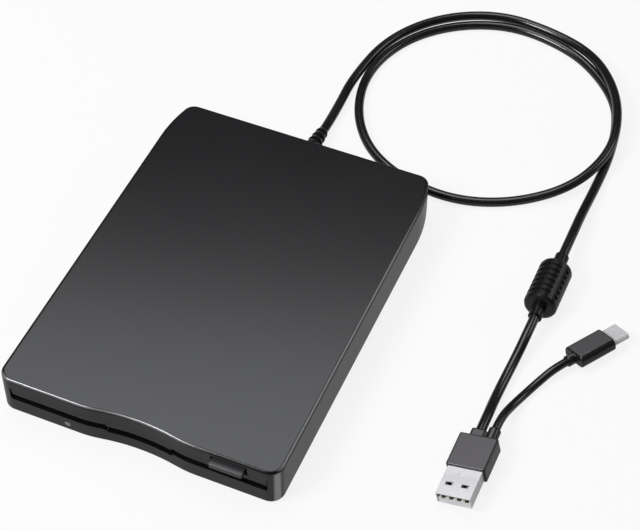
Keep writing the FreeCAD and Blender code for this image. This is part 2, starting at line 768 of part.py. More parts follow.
# Swinging lever whose peg meets the leading edge of the disk.
def make_shutter_lever():
    hub = rod(0, 0, lever_bottom_z, 3.2, 0.5, up_way)
    arm = prism([(0, -2.6, lever_bottom_z), (lever_reach, -1.4, lever_bottom_z),
                 (lever_reach, 1.4, lever_bottom_z), (0, 2.6, lever_bottom_z)], up_way, 0.5)
    end = rod(lever_reach, 0, lever_bottom_z, 1.4, 0.5, up_way)
    peg = rod(lever_reach, 0, lip_top_z + 0.9, 1.0, lever_bottom_z - lip_top_z - 0.7, up_way)
    lever = hub.fuse([arm, end, peg])
    lever = lever.cut(rod(0, 0, lever_bottom_z - 1, lever_post_radius + running_play, 3, up_way)).removeSplitter()
    lever.rotate(Vector(0, 0, 0), up_way, lever_rest)
    lever.translate(Vector(lever_x, lever_y, 0))
    return lever


rotor_bottom_z = chassis_floor_z
magnet_height = 0.5
rotor_top_z = rotor_bottom_z + magnet_height + 0.6
hub_top_z = rotor_top_z + 0.4
rotor_radius = 19.8
shaft_radius = 1.5
stator_half = 26.0
stator_corner = 4.0
tail_width = 14.0
tail_front = 20.0
tail_rear = 4.0


def make_stator_board():
    board = rounded_plate(-stator_half, stator_half, hub_y - stator_half, hub_y + stator_half,
                          board_bottom_z, chassis_bottom_z, stator_corner)
    tail_x = stator_half - 2 * stator_corner + 2
    tail = rounded_plate(tail_x, tail_x + tail_width, hub_y - tail_front, hub_y + tail_rear,
                         board_bottom_z, chassis_bottom_z, stator_corner / 2)
    return join(board, [tail]).cut(rod(0, hub_y, 0, stator_corner, 9, up_way))


def make_stator_coils():
    coils = []
    for count in range(9):
        turn = math.radians(40 * count + 20)
        x = 14.2 * math.cos(turn)
        y = hub_y + 14.2 * math.sin(turn)
        coils.append(tube_piece(x, y, chassis_bottom_z, 4.5, 1.8, 0.5, up_way))
    return Part.makeCompound(coils)


def make_spindle_bearing():
    hole = shaft_radius + running_play
    bush = rod(0, hub_y, board_bottom_z, 4.0, board_sheet, up_way)
    collar = rod(0, hub_y, chassis_bottom_z, 5.0, 0.9, up_way)
    return bush.fuse(collar).cut(rod(0, hub_y, 0, hole, 9, up_way))


def make_rotor_magnet():
    return tube_piece(0, hub_y, rotor_bottom_z, rotor_radius - 0.6, 9.5, magnet_height, up_way)


def make_spindle_rotor():
    disc = rod(0, hub_y, rotor_bottom_z, rotor_radius, rotor_top_z - rotor_bottom_z, up_way)
    under = rod(0, hub_y, rotor_bottom_z - 1, rotor_radius - 0.6, magnet_height + 1, up_way)
    cuts = [under, rod(0, hub_y, 0, shaft_radius, 9, up_way)]
    for count in range(3):
        turn = math.radians(120 * count + 90)
        x = 15.5 * math.cos(turn)
        y = hub_y + 15.5 * math.sin(turn)
        cuts.append(rod(x, y, rotor_top_z - 0.3, 1.5, 1, up_way))
    disc = disc.cut(cuts)
    rim = [e for e in level_edges(disc, rotor_top_z) if abs(e.Length - 2 * math.pi * rotor_radius) < 0.5]
    return disc.makeChamfer(0.25, rim)


def make_spindle_hub():
    hub = rod(0, hub_y, rotor_top_z, 12.0, hub_top_z - rotor_top_z, up_way)
    cuts = [rod(0, hub_y, 0, shaft_radius, 9, up_way), rod(spindle_pins, hub_y, 0, 1.0, 9, up_way)]
    return hub.cut(cuts)


def make_spindle_shaft():
    shaft = rod(0, hub_y, board_bottom_z + 0.1, shaft_radius, hub_top_z - board_bottom_z - 0.1, up_way)
    pin = rod(0, hub_y, hub_top_z, 2.0, 1.5, up_way)
    pin = pin.makeChamfer(0.5, level_edges(pin, hub_top_z + 1.5))
    return shaft.fuse(pin)


def make_drive_pin():
    pin = rod(spindle_pins, hub_y, rotor_top_z, 1.0, 1.4, up_way)
    return pin.makeChamfer(0.3, level_edges(pin, rotor_top_z + 1.4))


bush_radius = 1.5
tab_y = riser_front_y - head_travel + 2.0


# Motor can on one sheet bracket: rear flange, floor strip and front tab for the screw.
def make_stepper_motor():
    can = rod(screw_x, motor_front_y, screw_z, motor_radius, motor_length, rear_way)
    ends = [e for e in can.Edges if all(abs(v.Y - motor_front_y - motor_length) < 1e-4 for v in e.Vertexes)]
    can = can.makeChamfer(0.8, ends)
    groove = tube_piece(screw_x, motor_front_y + 4.0, screw_z, motor_radius + 1, motor_radius - 0.25, 0.6, rear_way)
    terminal = box(screw_x - 3, screw_x + 3, motor_front_y + 1.2, motor_front_y + 7.6,
                   screw_z + motor_radius - 1.0, screw_z + motor_radius + 0.5)
    flange = box(screw_x - 6, screw_x + 6, bracket_y, motor_front_y, chassis_floor_z, screw_z + 4.4)
    strip = box(screw_x - 3.5, screw_x + 3.5, tab_y - chassis_sheet, motor_front_y,
                chassis_floor_z, chassis_floor_z + rail_sheet)
    tab = box(screw_x - 3.5, screw_x + 3.5, tab_y - chassis_sheet, tab_y, chassis_floor_z, screw_z + 2.2)
    hole = rod(screw_x, motor_front_y - 1, screw_z, journal_radius + running_play, 4.5, rear_way)
    seat = rod(screw_x, tab_y - 2, screw_z, bush_radius, 3, rear_way)
    return can.cut(groove).fuse([terminal, flange, strip, tab]).cut([hole, seat])


screw_front_y = riser_front_y - head_travel + 2.6


def make_lead_screw():
    points = [(0, screw_front_y - 1.6), (journal_radius, screw_front_y - 1.6), (journal_radius, screw_front_y)]
    y = screw_front_y
    rear = bracket_y - 0.3
    while y < rear - screw_pitch:
        points.append((screw_radius, y))
        points.append((screw_radius, y + screw_pitch / 2))
        points.append((screw_radius - 0.3, y + screw_pitch / 2))
        points.append((screw_radius - 0.3, y + screw_pitch))
        y = y + screw_pitch
    points.append((screw_radius, y))
    points.append((screw_radius, rear))
    points.append((journal_radius, rear))
    points.append((journal_radius, motor_front_y + 3.0))
    points.append((0, motor_front_y + 3.0))
    corners = [Vector(screw_x + r, h, screw_z) for r, h in points]
    face = Part.Face(Part.makePolygon(corners + [corners[0]]))
    return face.revolve(Vector(screw_x, 0, screw_z), rear_way, 360)


def make_screw_bearing():
    bush = rod(screw_x, tab_y - chassis_sheet, screw_z, bush_radius, chassis_sheet, rear_way)
    collar = rod(screw_x, tab_y - chassis_sheet - 0.5, screw_z, bush_radius + 0.6, 0.5, rear_way)
    hole = rod(screw_x, tab_y - 3, screw_z, journal_radius + running_play, 5, rear_way)
    return bush.fuse(collar).cut(hole)


def make_guide_rod():
    return rod(rod_x, rod_front_y, rod_z, rod_radius, rod_rear_y - rod_front_y, rear_way)


def make_rod_clips():
    clips = []
    for y in (rod_front_y + 0.4, rod_rear_y - 1.9):
        clip = box(rod_x - 2.6, rod_x + 2.6, y, y + 1.5, chassis_floor_z, rod_z + rod_radius + 0.35)
        clips.append(clip.cut(rod(rod_x, y - 1, rod_z, rod_radius, 4, rear_way)))
    return Part.makeCompound(clips)


carriage_half = 7.0
arm_half = 5.0
arm_bar_top_z = disk_low_z - 0.25


def make_head_carriage():
    y0 = riser_front_y
    y1 = riser_rear_y
    low = chassis_floor_z + free_gap
    riser = box(-carriage_half, carriage_half, y0, y1, low, arm_hinge_z - 1.5)
    lower_arm = rounded_plate(-5.5, 5.5, head_y - 4.0, y0 + 2, low, arm_bar_top_z, 2.0)
    sleeve = box(rod_x - 2.4, rod_x + 2.4, y0, y1, rod_z - 1.2, rod_z + 2.2)
    bridge = box(rod_x, -carriage_half + 1, y0, y1, low, rod_z + 2.2)
    near = y0 + 2.8
    far = y1 - 0.8
    follower = box(screw_x - 2.8, screw_x + 2.8, near, far, screw_z - 2.6, screw_z + 2.6)
    link = box(carriage_half - 1, screw_x - 1, near, far, screw_z - 1.4, screw_z + 1.4)
    ears = []
    for side in (-1, 1):
        x0 = min(side * (arm_half + 0.5), side * carriage_half)
        ears.append(prism_x([(y0 + 1.0, arm_hinge_z - 2.5), (y0 + 2.6, arm_hinge_z + 1.1), (y0 + 5.8, arm_hinge_z + 1.1),
                             (y1, arm_hinge_z - 2.5)], x0, x0 + carriage_half - arm_half - 0.5))
    body = riser.fuse([lower_arm, sleeve, bridge, follower, link] + ears).removeSplitter()
    cuts = [
        rod(rod_x, y0 - 1, rod_z, rod_radius + running_play, 9, rear_way),
        rod(screw_x, y0 - 1, screw_z, screw_radius + pin_play, 9, rear_way),
        rod(-20, arm_hinge_y, arm_hinge_z, arm_pin_radius, 40, right_way),
        box(-4.0, 4.0, y0 + 2.2, y1 + 1, low + 1.4, arm_hinge_z - 3.4),
        rod(0, head_y, low, 2.6, 9, up_way),
    ]
    return body.cut(cuts)


arm_pin_radius = 0.6


def make_arm_pin():
    return rod(-carriage_half, arm_hinge_y, arm_hinge_z, arm_pin_radius, 2 * carriage_half, right_way)


def make_lower_head():
    low = chassis_floor_z + free_gap
    stem = rod(0, head_y, low, 2.6, arm_bar_top_z - low, up_way)
    face = rod(0, head_y, arm_bar_top_z, 3.2, media_z - arm_bar_top_z, up_way)
    face = face.makeChamfer(0.4, level_edges(face, media_z))
    slider = stem.fuse(face)
    return slider.cut(box(-0.35, 0.35, head_y - 2.6, head_y + 2.6, media_z - 0.25, media_z + 1))


def make_head_arm():
    plate = rounded_plate(-arm_half, arm_half, head_y - 4.3, arm_hinge_y, arm_bottom_z, arm_top_z, 1.5)
    sleeve = rod(-arm_half, arm_hinge_y, arm_hinge_z, 1.1, 2 * arm_half, right_way)
    ribs = []
    for side in (-1, 1):
        x0 = side * (arm_half - 0.6) - 0.4
        ribs.append(box(x0, x0 + 0.8, head_y - 1, arm_hinge_y - 0.5, arm_top_z - 0.1, arm_top_z + 0.5))
    arm = plate.fuse([sleeve] + ribs).removeSplitter()
    cuts = [
        rod(-20, arm_hinge_y, arm_hinge_z, arm_pin_radius + running_play, 40, right_way),
        rounded_plate(-2.6, 2.6, head_y + 6, arm_hinge_y - 6, arm_bottom_z - 1, arm_top_z + 1, 1.2),
        rod(0, head_y, arm_bottom_z - 1, 1.6, 4, up_way),
    ]
    return arm.cut(cuts)


upper_head_z = channel_top_z + 0.05


def make_upper_head():
    pad = rod(0, head_y, upper_head_z, 3.0, arm_bottom_z - upper_head_z, up_way)
    pad = pad.makeChamfer(0.4, level_edges(pad, upper_head_z))
    stem = rod(0, head_y, arm_bottom_z, 1.6, arm_sheet + 0.3, up_way)
    return pad.fuse(stem)


sensor_top_z = chassis_floor_z + 1.3
sensor_pin_radius = 1.0


def make_sensor_block():
    near = sensor_y - 3.0
    far = sensor_y + 3.0
    left = rounded_plate(sensor_pins[0] - 2.5, sensor_pins[0] + 2.5, near, far, chassis_floor_z, sensor_top_z, 0.5)
    right = rounded_plate(sensor_pins[1] - 2.5, sensor_pins[2] + 2.5, near, far, chassis_floor_z, sensor_top_z, 0.5)
    holes = [rod(x, sensor_y, 0, sensor_pin_radius + running_play, 9, up_way) for x in sensor_pins]
    return left.fuse(right).cut(holes)


def sensor_pin(x):
    low = chassis_floor_z + 0.5
    top = lip_top_z - 0.5
    pin = rod(x, sensor_y, low, sensor_pin_radius, top - low, up_way)
    return pin.makeChamfer(0.4, level_edges(pin, top))


control_board_top_z = control_board_z + 1.0


def make_control_board():
    return rounded_plate(board_left, board_right, board_front_y, board_rear_y,
                         control_board_z, control_board_top_z, 0.8)


def make_control_chips():
    left = board_left
    front = board_front_y
    top = control_board_top_z
    return Part.makeCompound([
        box(left + 2.4, left + 11.4, front + 5.0, front + 14.0, top, top + 1.2),
        box(left + 14.4, left + 20.4, front + 2.5, front + 7.5, top, top + 1.1),
        box(left + 13.9, left + 21.9, front + 10.5, front + 15.0, top, top + 1.0),
        box(left + 3.4, left + 9.4, front + 16.5, front + 19.0, top, top + 1.6),
    ])


usb_board_top_z = usb_board_z + 1.0
socket_rear_y = usb_rear_y - 0.8


def make_usb_board():
    return rounded_plate(board_posts[0][0] - 4.0, board_posts[1][0] + 4.0, usb_front_y, usb_rear_y,
                         usb_board_z, usb_board_top_z, 0.8)


def make_usb_chip():
    top = usb_board_top_z
    front = usb_front_y + 0.5
    chip = box(-26.0, -19.0, front, front + 5.4, top, top + 1.1)
    crystal = rounded_plate(-16.5, -12.0, front + 1.0, front + 4.4, top, top + 1.3, 1.2)
    return Part.makeCompound([chip, crystal])


def make_cable_socket():
    top = usb_board_top_z
    front = socket_rear_y - 4.0
    socket = box(relief_x - 4.0, relief_x + 4.0, front, socket_rear_y, top, top + 2.6)
    return socket.cut(box(relief_x - 3.4, relief_x + 3.4, front - 1.0, socket_rear_y - 1.6, top + 0.7, top + 2.0))


def make_cord_wires():
    wires = []
    top = usb_board_top_z
    for count in range(4):
        x = relief_x - 1.65 + 1.1 * count
        wires.append(rod(x, socket_rear_y, top + 1.3, 0.45, relief_flange_y - socket_rear_y, rear_way))
    return Part.makeCompound(wires)


def make_flat_cable():
    y = board_rear_y
    a = control_board_top_z
    b = usb_board_top_z
    lower = [(y - 2.8, a), (y - 0.2, a), (y + 1.6, a + 1.2), (y + 3.4, a + 1.2), (y + 4.8, b + 0.6),
             (y + 5.4, b), (y + 7.4, b)]
    strip = lower + [(along, z + 0.25) for along, z in reversed(lower)]
    return prism_x(strip, -33.5, -26.5)


# Moulded sleeve: flange inside the wall, round neck, tapered ribbed tail that droops.
def make_strain_relief():
    flange = box(relief_x - 4.0, relief_x + 4.0, relief_flange_y, inner_rear_y, relief_z - 2.9, relief_z + 3.2)
    neck = rod(relief_x, relief_flange_y + 0.5, relief_z, relief_neck_radius,
               rear_y - relief_flange_y + 0.6, rear_way)
    start = Vector(relief_x, rear_y + 0.45, relief_z)
    end = Vector(*relief_end)
    length = (end - start).Length
    core = cord_radius + 0.2
    profile = [(0, 0), (relief_radius, 0), (relief_radius - rib_depth, rib_lead)]
    for count in range(relief_ribs):
        h = rib_lead + rib_pitch * count
        r = relief_radius - rib_taper * count
        profile += [(r, h), (r, h + 0.4), (max(core, r - rib_depth), min(h + rib_pitch, length))]
    profile += [(0, length)]
    corners = [Vector(r, 0, h) for r, h in profile]
    face = Part.Face(Part.makePolygon(corners + [corners[0]]))
    tail = face.revolve(Vector(0, 0, 0), up_way, 360)
    tail.Placement = FreeCAD.Placement(start, FreeCAD.Rotation(up_way, end - start))
    return join(flange, [neck, tail])


# Round cord of straight runs joined by tangent arcs.
def cord(points, radius, name):
    places = [Vector(*p) for p in points]
    edges = []
    last = places[0]
    radii = []
    length = 0.0
    for index in range(1, len(places) - 1):
        here = places[index]
        back = places[index - 1] - here
        ahead = places[index + 1] - here
        turn = math.pi - back.getAngle(ahead)
        cut_back = 0.45 * min(back.Length, ahead.Length)
        bend = cut_back / math.tan(turn / 2)
        back.normalize()
        ahead.normalize()
        first = here + back * cut_back
        final = here + ahead * cut_back
        middle_way = (back + ahead).normalize()
        centre = here + middle_way * (bend / math.cos(turn / 2))
        edges.append(Part.LineSegment(last, first).toShape())
        edges.append(Part.Arc(first, centre - middle_way * bend, final).toShape())
        length = length + (first - last).Length + bend * turn
        radii.append(round(bend, 1))
        last = final
    edges.append(Part.LineSegment(last, places[-1]).toShape())
    length = length + (places[-1] - last).Length
    spine = Part.Wire(edges)
    way = places[1] - places[0]
    circle = Part.Wire(Part.makeCircle(radius, places[0], way))
    tube = spine.makePipeShell([circle], True, False)
    section = math.pi * radius * radius
    print(name, "bend radii", radii)
    print(name, "length", round(length, 1), "volume", round(tube.Volume, 1), "section x length",
          round(section * length, 1))
    return tube


def make_cord_upper():
    return cord(cord_upper_route, cord_radius, "cord_upper")


plug_a_centre = Vector(
    plug_a_face[0], plug_a_face[1],
    plug_a_thick / 2 * math.cos(math.radians(plug_a_roll)) + plug_a_width / 2 * math.sin(math.radians(plug_a_roll)))
plug_c_centre = Vector(
    plug_c_face[0], plug_c_face[1],
    plug_c_thick / 2 * math.cos(math.radians(plug_c_roll)) + plug_c_width / 2 * math.sin(math.radians(plug_c_roll)))
main_entry_x = -1.52
branch_exit_x = 3.2
branch_collar = 5.2
branch_collar_radius = 2.1


def place_a(shape):
    shape.rotate(Vector(0, 0, 0), rear_way, -plug_a_roll)
    shape.translate(plug_a_centre)
    return shape


def point_a(x, y):
    turn = math.radians(plug_a_roll)
    return (plug_a_centre.x + x * math.cos(turn), plug_a_centre.y + y, plug_a_centre.z + x * math.sin(turn))


def place_c(shape):
    shape.rotate(Vector(0, 0, 0), rear_way, -plug_c_roll)
    shape.rotate(Vector(0, 0, 0), up_way, plug_c_yaw)
    shape.translate(plug_c_centre)
    return shape


def point_c(y):
    turn = math.radians(-plug_c_yaw)
    return (plug_c_centre.x + y * math.sin(turn), plug_c_centre.y + y * math.cos(turn), plug_c_centre.z)


def lower_route():
    neck = point_a(main_entry_x, plug_a_length + plug_a_neck)
    return [
        (ferrite_x, collar_front_y, ferrite_radius),
        (ferrite_x, 26.5, ferrite_radius),
        (102.0, 17.5, 3.2),
        (101.3, 7.5, 1.8),
        (101.1, -3.0, 2.2),
        (neck[0], neck[1] + 7.0, neck[2]),
        neck,
    ]


def branch_route():
    start = point_a(branch_exit_x, plug_a_length + branch_collar)
    end = point_c(-plug_c_length - plug_c_collar)
    near = point_c(-plug_c_length - plug_c_collar - 5.2)
    return [
        start,
        (start[0], start[1] + 5.6, start[2]),
        (107.2, -3.9, 2.7),
        (109.8, 4.6, 1.5),
        (112.9, 11.9, 2.2),
        near,
        end,
    ]


def make_cord_lower():
    return cord(lower_route(), cord_radius, "cord_lower")


def make_cord_branch():
    return cord(branch_route(), branch_radius, "cord_branch")


# Part of a ring groove round the bead, between two angles seen from the front end.
def bead_slot(y, start, end):
    depth = ferrite_radius - slot_depth
    ring = tube_piece(ferrite_x, y - slot_width / 2, ferrite_radius, ferrite_radius + 1, depth, slot_width, rear_way)
    points = [(ferrite_x, ferrite_radius)]
    reach = 3 * ferrite_radius
    for angle in (start, (start + end) / 2, end):
        turn = math.radians(angle)
        points.append((ferrite_x + reach * math.cos(turn), ferrite_radius + reach * math.sin(turn)))
    return ring.common(prism_y(points, y - slot_width, y + slot_width))


slot_count = 6
slot_width = 1.1
slot_depth = 0.5
slot_spans = [(31.0, 43.0), (66.0, 113.0), (123.0, 180.0)]


def make_ferrite_bead():
    r = ferrite_radius
    y0 = ferrite_front_y
    y1 = ferrite_rear_y
    profile = [(0, collar_front_y), (ferrite_collar, collar_front_y), (ferrite_collar, y0)]
    profile += [(r - 1.3, y0), (r - 0.4, y0 + 0.4), (r, y0 + 1.3)]
    profile += [(r, y1 - 1.3), (r - 0.4, y1 - 0.4), (r - 1.3, y1)]
    profile += [(ferrite_collar, y1), (ferrite_collar, collar_rear_y), (0, collar_rear_y)]
    corners = [Vector(ferrite_x + d, y, r) for d, y in profile]
    face = Part.Face(Part.makePolygon(corners + [corners[0]]))
    bead = face.revolve(Vector(ferrite_x, 0, r), rear_way, 360)
    pitch = (y1 - y0 - 4.6) / slot_count
    slots = []
    for count in range(slot_count):
        y = y0 + 2.3 + pitch * (count + 0.5)
        for start, end in slot_spans:
            slots.append(bead_slot(y, start, end))
            slots.append(bead_slot(y, start + 180, end + 180))
    return bead.cut(slots)


def make_usb_a_overmold():
    half = plug_a_width / 2
    tall = plug_a_thick / 2
    body = box(-half, half, 0, plug_a_length, -tall, tall)
    body = body.makeFillet(0.6, body.Edges)
    neck = rounded_opening(-4.2, 1.4, -2.2, 2.2, plug_a_length - 1, plug_a_length + plug_a_neck, 1.2)
    collar = rod(branch_exit_x, plug_a_length - 1, 0, branch_collar_radius, branch_collar + 1, rear_way)
    body = body.fuse([neck, collar]).removeSplitter()
    pocket = box(-shell_a_width / 2, shell_a_width / 2, -1, shell_embed, -shell_a_thick / 2, shell_a_thick / 2)
    return place_a(body.cut(pocket))


def make_usb_a_shell():
    half = shell_a_width / 2
    tall = shell_a_thick / 2
    outer = box(-half, half, -shell_a_length, shell_embed, -tall, tall)
    sheet = shell_a_sheet
    inner = box(-half + sheet, half - sheet, -shell_a_length - 1, shell_embed + 1, -tall + sheet, tall - sheet)
    cuts = [inner]
    for x in window_a_rows:
        cuts.append(box(x - 1.3, x + 1.3, window_a_y - 0.7, window_a_y + 0.7, 0, 5))
    cuts.append(box(-1.2, 0.6, -3.3, -2.4, tall - 0.12, 5))
    return place_a(outer.cut(cuts))


tongue_a_top = -0.1
tongue_a_front = -shell_a_length + 0.25
window_a_y = -7.0
window_a_rows = (-2.9, 2.6)
contact_a_rows = (-3.75, -1.05, 1.65, 4.35)
contact_a_half = 0.6
contact_a_sheet = 0.2


def make_usb_a_tongue():
    half = shell_a_width / 2 - shell_a_sheet
    low = shell_a_sheet - shell_a_thick / 2
    tongue = box(-half, half, tongue_a_front, shell_embed, low, tongue_a_top)
    rear = box(-half, half, -2.6, shell_embed, tongue_a_top, -low)
    cuts = []
    for x in contact_a_rows:
        cuts.append(box(x - contact_a_half, x + contact_a_half, tongue_a_front - 1, -2.6,
                        tongue_a_top - contact_a_sheet, tongue_a_top + 1))
    return place_a(join(tongue, [rear]).cut(cuts))


def make_usb_a_contacts():
    strips = []
    seat = tongue_a_top - contact_a_sheet
    front = tongue_a_front + 0.15
    for x in contact_a_rows:
        left = x - contact_a_half
        right = x + contact_a_half
        strip = prism_x([(front, seat), (-2.6, seat), (-2.6, tongue_a_top), (front + 2.6, tongue_a_top),
                         (front + 1.6, tongue_a_top + 0.45), (front + 0.2, tongue_a_top + 0.45),
                         (front, tongue_a_top + 0.2)], left, right)
        strips.append(strip)
    return place_a(Part.makeCompound(strips))


def stadium(width, thick, y0, y1):
    radius = thick / 2
    reach = width / 2 - radius
    return slotted_hole((-reach, y0, 0), (reach, y0, 0), radius, rear_way, y1 - y0)


def make_usb_c_overmold():
    half = plug_c_width / 2
    tall = plug_c_thick / 2
    body = rounded_opening(-half, half, -tall, tall, -plug_c_length, 0, 1.9)
    ends = [e for e in body.Edges if all(abs(v.Y + plug_c_length) < 1e-4 for v in e.Vertexes)]
    body = body.makeFillet(0.5, ends)
    collar = rod(0, -plug_c_length - plug_c_collar, 0, 2.0, plug_c_collar + 1, rear_way)
    body = body.fuse(collar)
    return place_c(body.cut(stadium(shell_c_width, shell_c_thick, -shell_embed, 1)))


def make_usb_c_shell():
    sheet = 0.3
    outer = stadium(shell_c_width, shell_c_thick, -shell_embed, shell_c_length)
    inner = stadium(shell_c_width - 2 * sheet, shell_c_thick - 2 * sheet, 0, shell_c_length + 1)
    return place_c(outer.cut(inner))


def make_usb_c_tongue():
    sheet = 0.3
    block = stadium(shell_c_width - 2 * sheet, shell_c_thick - 2 * sheet, 0, shell_c_length - 0.5)
    return place_c(block.cut(box(-3.4, 3.4, 0.8, shell_c_length + 1, -0.36, 0.36)))


def make_door_spring():
    start = door_left + 1.6
    return coil(start, door_hinge_y, door_hinge_z, right_way, 3.6, 0.85, 0.45 + running_play, 3)


parts = {
    "top_cover": make_top_cover,
    "bottom_cover": make_bottom_cover,
    "rubber_feet": make_rubber_feet,
    "cover_screws": make_cover_screws,
    "led_window": make_led_window,
    "led_board": make_led_board,
    "led": make_led,
    "chassis_frame": make_chassis_frame,
    "chassis_screws": make_chassis_screws,
    "top_shield": make_top_shield,
    "dust_door": make_dust_door,
    "door_spring": make_door_spring,
    "eject_button": make_eject_button,
    "eject_slider": make_eject_slider,
    "slider_springs": make_slider_springs,
    "disk_carrier": make_disk_carrier,
    "carrier_pins": make_carrier_pins,
    "lever_post": make_lever_post,
    "shutter_lever": make_shutter_lever,
    "stator_board": make_stator_board,
    "stator_coils": make_stator_coils,
    "spindle_bearing": make_spindle_bearing,
    "rotor_magnet": make_rotor_magnet,
    "spindle_rotor": make_spindle_rotor,
    "spindle_hub": make_spindle_hub,
    "spindle_shaft": make_spindle_shaft,
    "drive_pin": make_drive_pin,
    "stepper_motor": make_stepper_motor,
    "lead_screw": make_lead_screw,
    "screw_bearing": make_screw_bearing,
    "guide_rod": make_guide_rod,
    "rod_clips": make_rod_clips,
    "head_carriage": make_head_carriage,
    "arm_pin": make_arm_pin,
    "lower_head": make_lower_head,
    "head_arm": make_head_arm,
    "upper_head": make_upper_head,
    "sensor_block": make_sensor_block,
    "write_protect_pin": lambda: sensor_pin(sensor_pins[0]),
    "disk_in_pin": lambda: sensor_pin(sensor_pins[1]),
    "density_pin": lambda: sensor_pin(sensor_pins[2]),
    "control_board": make_control_board,
    "control_chips": make_control_chips,
    "usb_board": make_usb_board,
    "usb_chip": make_usb_chip,
    "cable_socket": make_cable_socket,
    "cord_wires": make_cord_wires,
    "flat_cable": make_flat_cable,
    "strain_relief": make_strain_relief,
    "cord_upper": make_cord_upper,
    "ferrite_bead": make_ferrite_bead,
    "cord_lower": make_cord_lower,
    "cord_branch": make_cord_branch,
    "usb_a_overmold": make_usb_a_overmold,
    "usb_a_shell": make_usb_a_shell,
    "usb_a_tongue": make_usb_a_tongue,
    "usb_a_contacts": make_usb_a_contacts,
    "usb_c_overmold": make_usb_c_overmold,
    "usb_c_shell": make_usb_c_shell,
    "usb_c_tongue": make_usb_c_tongue,
}

os.makedirs("parts", exist_ok=True)
for name, make in parts.items():
    shape = make()
    if not shape.isValid():
        print("not valid", name)
    shape.exportStep("parts/" + name + ".step")
    bounds = shape.BoundBox
    print(name, len(shape.Solids), "solids", round(shape.Volume, 1),
          "x", round(bounds.XMin, 2), round(bounds.XMax, 2), "y", round(bounds.YMin, 2), round(bounds.YMax, 2),
          "z", round(bounds.ZMin, 2), round(bounds.ZMax, 2))
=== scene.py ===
import math

import bpy
from mathutils import Matrix, Vector


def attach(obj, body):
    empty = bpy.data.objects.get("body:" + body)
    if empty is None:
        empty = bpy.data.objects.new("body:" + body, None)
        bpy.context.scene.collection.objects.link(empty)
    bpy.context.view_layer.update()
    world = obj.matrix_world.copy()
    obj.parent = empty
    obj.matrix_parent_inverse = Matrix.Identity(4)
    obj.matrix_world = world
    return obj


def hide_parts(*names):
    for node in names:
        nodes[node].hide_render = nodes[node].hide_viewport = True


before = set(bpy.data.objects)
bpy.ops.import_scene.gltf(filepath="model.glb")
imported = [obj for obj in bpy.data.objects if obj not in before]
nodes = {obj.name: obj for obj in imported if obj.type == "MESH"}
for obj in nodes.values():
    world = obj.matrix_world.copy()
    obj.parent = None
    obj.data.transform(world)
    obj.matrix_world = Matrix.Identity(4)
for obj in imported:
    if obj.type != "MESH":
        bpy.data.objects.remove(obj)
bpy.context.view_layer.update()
scene = bpy.context.scene
print("frame loaded:", len(nodes), "nodes")


# Camera: long lens from the front right, looking down on the drive.
cameraSettings = {
    "place": (0.193045, -0.374013, 0.507968),
    "right": (0.91929195, 0.39354171, 0.00521865),
    "up": (-0.30077941, 0.69392894, 0.65421279),
    "back": (0.25383866, -0.60298222, 0.75629253),
    "lens": 104.793,
    "sensor": 36,
    "near": 0.01,
    "far": 50,
}


def makeCamera(s):
    data = bpy.data.cameras.new("studioCamera")
    data.lens = s["lens"]
    data.sensor_fit = "HORIZONTAL"
    data.sensor_width = s["sensor"]
    data.clip_start = s["near"]
    data.clip_end = s["far"]
    camera = bpy.data.objects.new("studioCamera", data)
    turn = Matrix((s["right"], s["up"], s["back"])).transposed().to_4x4()
    camera.matrix_world = Matrix.Translation(s["place"]) @ turn
    scene.collection.objects.link(camera)
    scene.camera = camera


makeCamera(cameraSettings)
print("camera set")


# Material helpers: every surface is built from a few nodes.
def newSurface(name, color, roughness, metallic=0.0, specular=0.5):
    material = bpy.data.materials.new(name)
    material.use_nodes = True
    shader = shaderOf(material)
    shader.inputs["Base Color"].default_value = (*color, 1)
    shader.inputs["Roughness"].default_value = roughness
    shader.inputs["Metallic"].default_value = metallic
    shader.inputs["Specular IOR Level"].default_value = specular
    return material


def shaderOf(material):
    return material.node_tree.nodes["Principled BSDF"]


def addNode(material, kind, **values):
    node = material.node_tree.nodes.new(kind)
    for key, value in values.items():
        setattr(node, key, value)
    return node


def wire(material, start, end):
    material.node_tree.links.new(start, end)


def feed(material, socket, value):
    wire(material, value, shaderOf(material).inputs[socket])


# How finely each noise is broken up, and the middle part of its range that tint and gloss use.
noiseDetail = {"fine": 3.0, "broad": 2.0, "lines": 4.0}
noiseSpan = {"tint": (0.35, 0.65), "gloss": (0.3, 0.7)}


def noiseOf(material, scale, detail=noiseDetail["fine"], stretch=(1, 1, 1)):
    place = addNode(material, "ShaderNodeTexCoord")
    turn = addNode(material, "ShaderNodeMapping")
    turn.inputs["Scale"].default_value = stretch
    noise = addNode(material, "ShaderNodeTexNoise")
    noise.inputs["Scale"].default_value = scale
    noise.inputs["Detail"].default_value = detail
    wire(material, place.outputs["Object"], turn.inputs["Vector"])
    wire(material, turn.outputs["Vector"], noise.inputs["Vector"])
    return noise.outputs["Fac"]


def joinValues(material, operation, first, second):
    node = addNode(material, "ShaderNodeMath", operation=operation)
    wire(material, first, node.inputs[0])
    wire(material, second, node.inputs[1])
    return node.outputs["Value"]


# A value's range from start to end, spread from low to high and held there outside it.
def spreadValue(material, value, low, high, start=0.0, end=1.0):
    spread = addNode(material, "ShaderNodeMapRange")
    spread.inputs["From Min"].default_value = start
    spread.inputs["From Max"].default_value = end
    spread.inputs["To Min"].default_value = low
    spread.inputs["To Max"].default_value = high
    wire(material, value, spread.inputs["Value"])
    return spread.outputs["Result"]


# Two colours mixed by a share. Each is three numbers or another node's output.
def mixColors(material, share, first, second):
    mix = addNode(material, "ShaderNodeMix", data_type="RGBA")
    wire(material, share, mix.inputs["Factor"])
    places = [socket for socket in mix.inputs if socket.type == "RGBA"]
    for place, color in zip(places, (first, second)):
        if isinstance(color, tuple):
            place.default_value = (*color, 1)
        else:
            wire(material, color, place)
    return [socket for socket in mix.outputs if socket.type == "RGBA"][0]


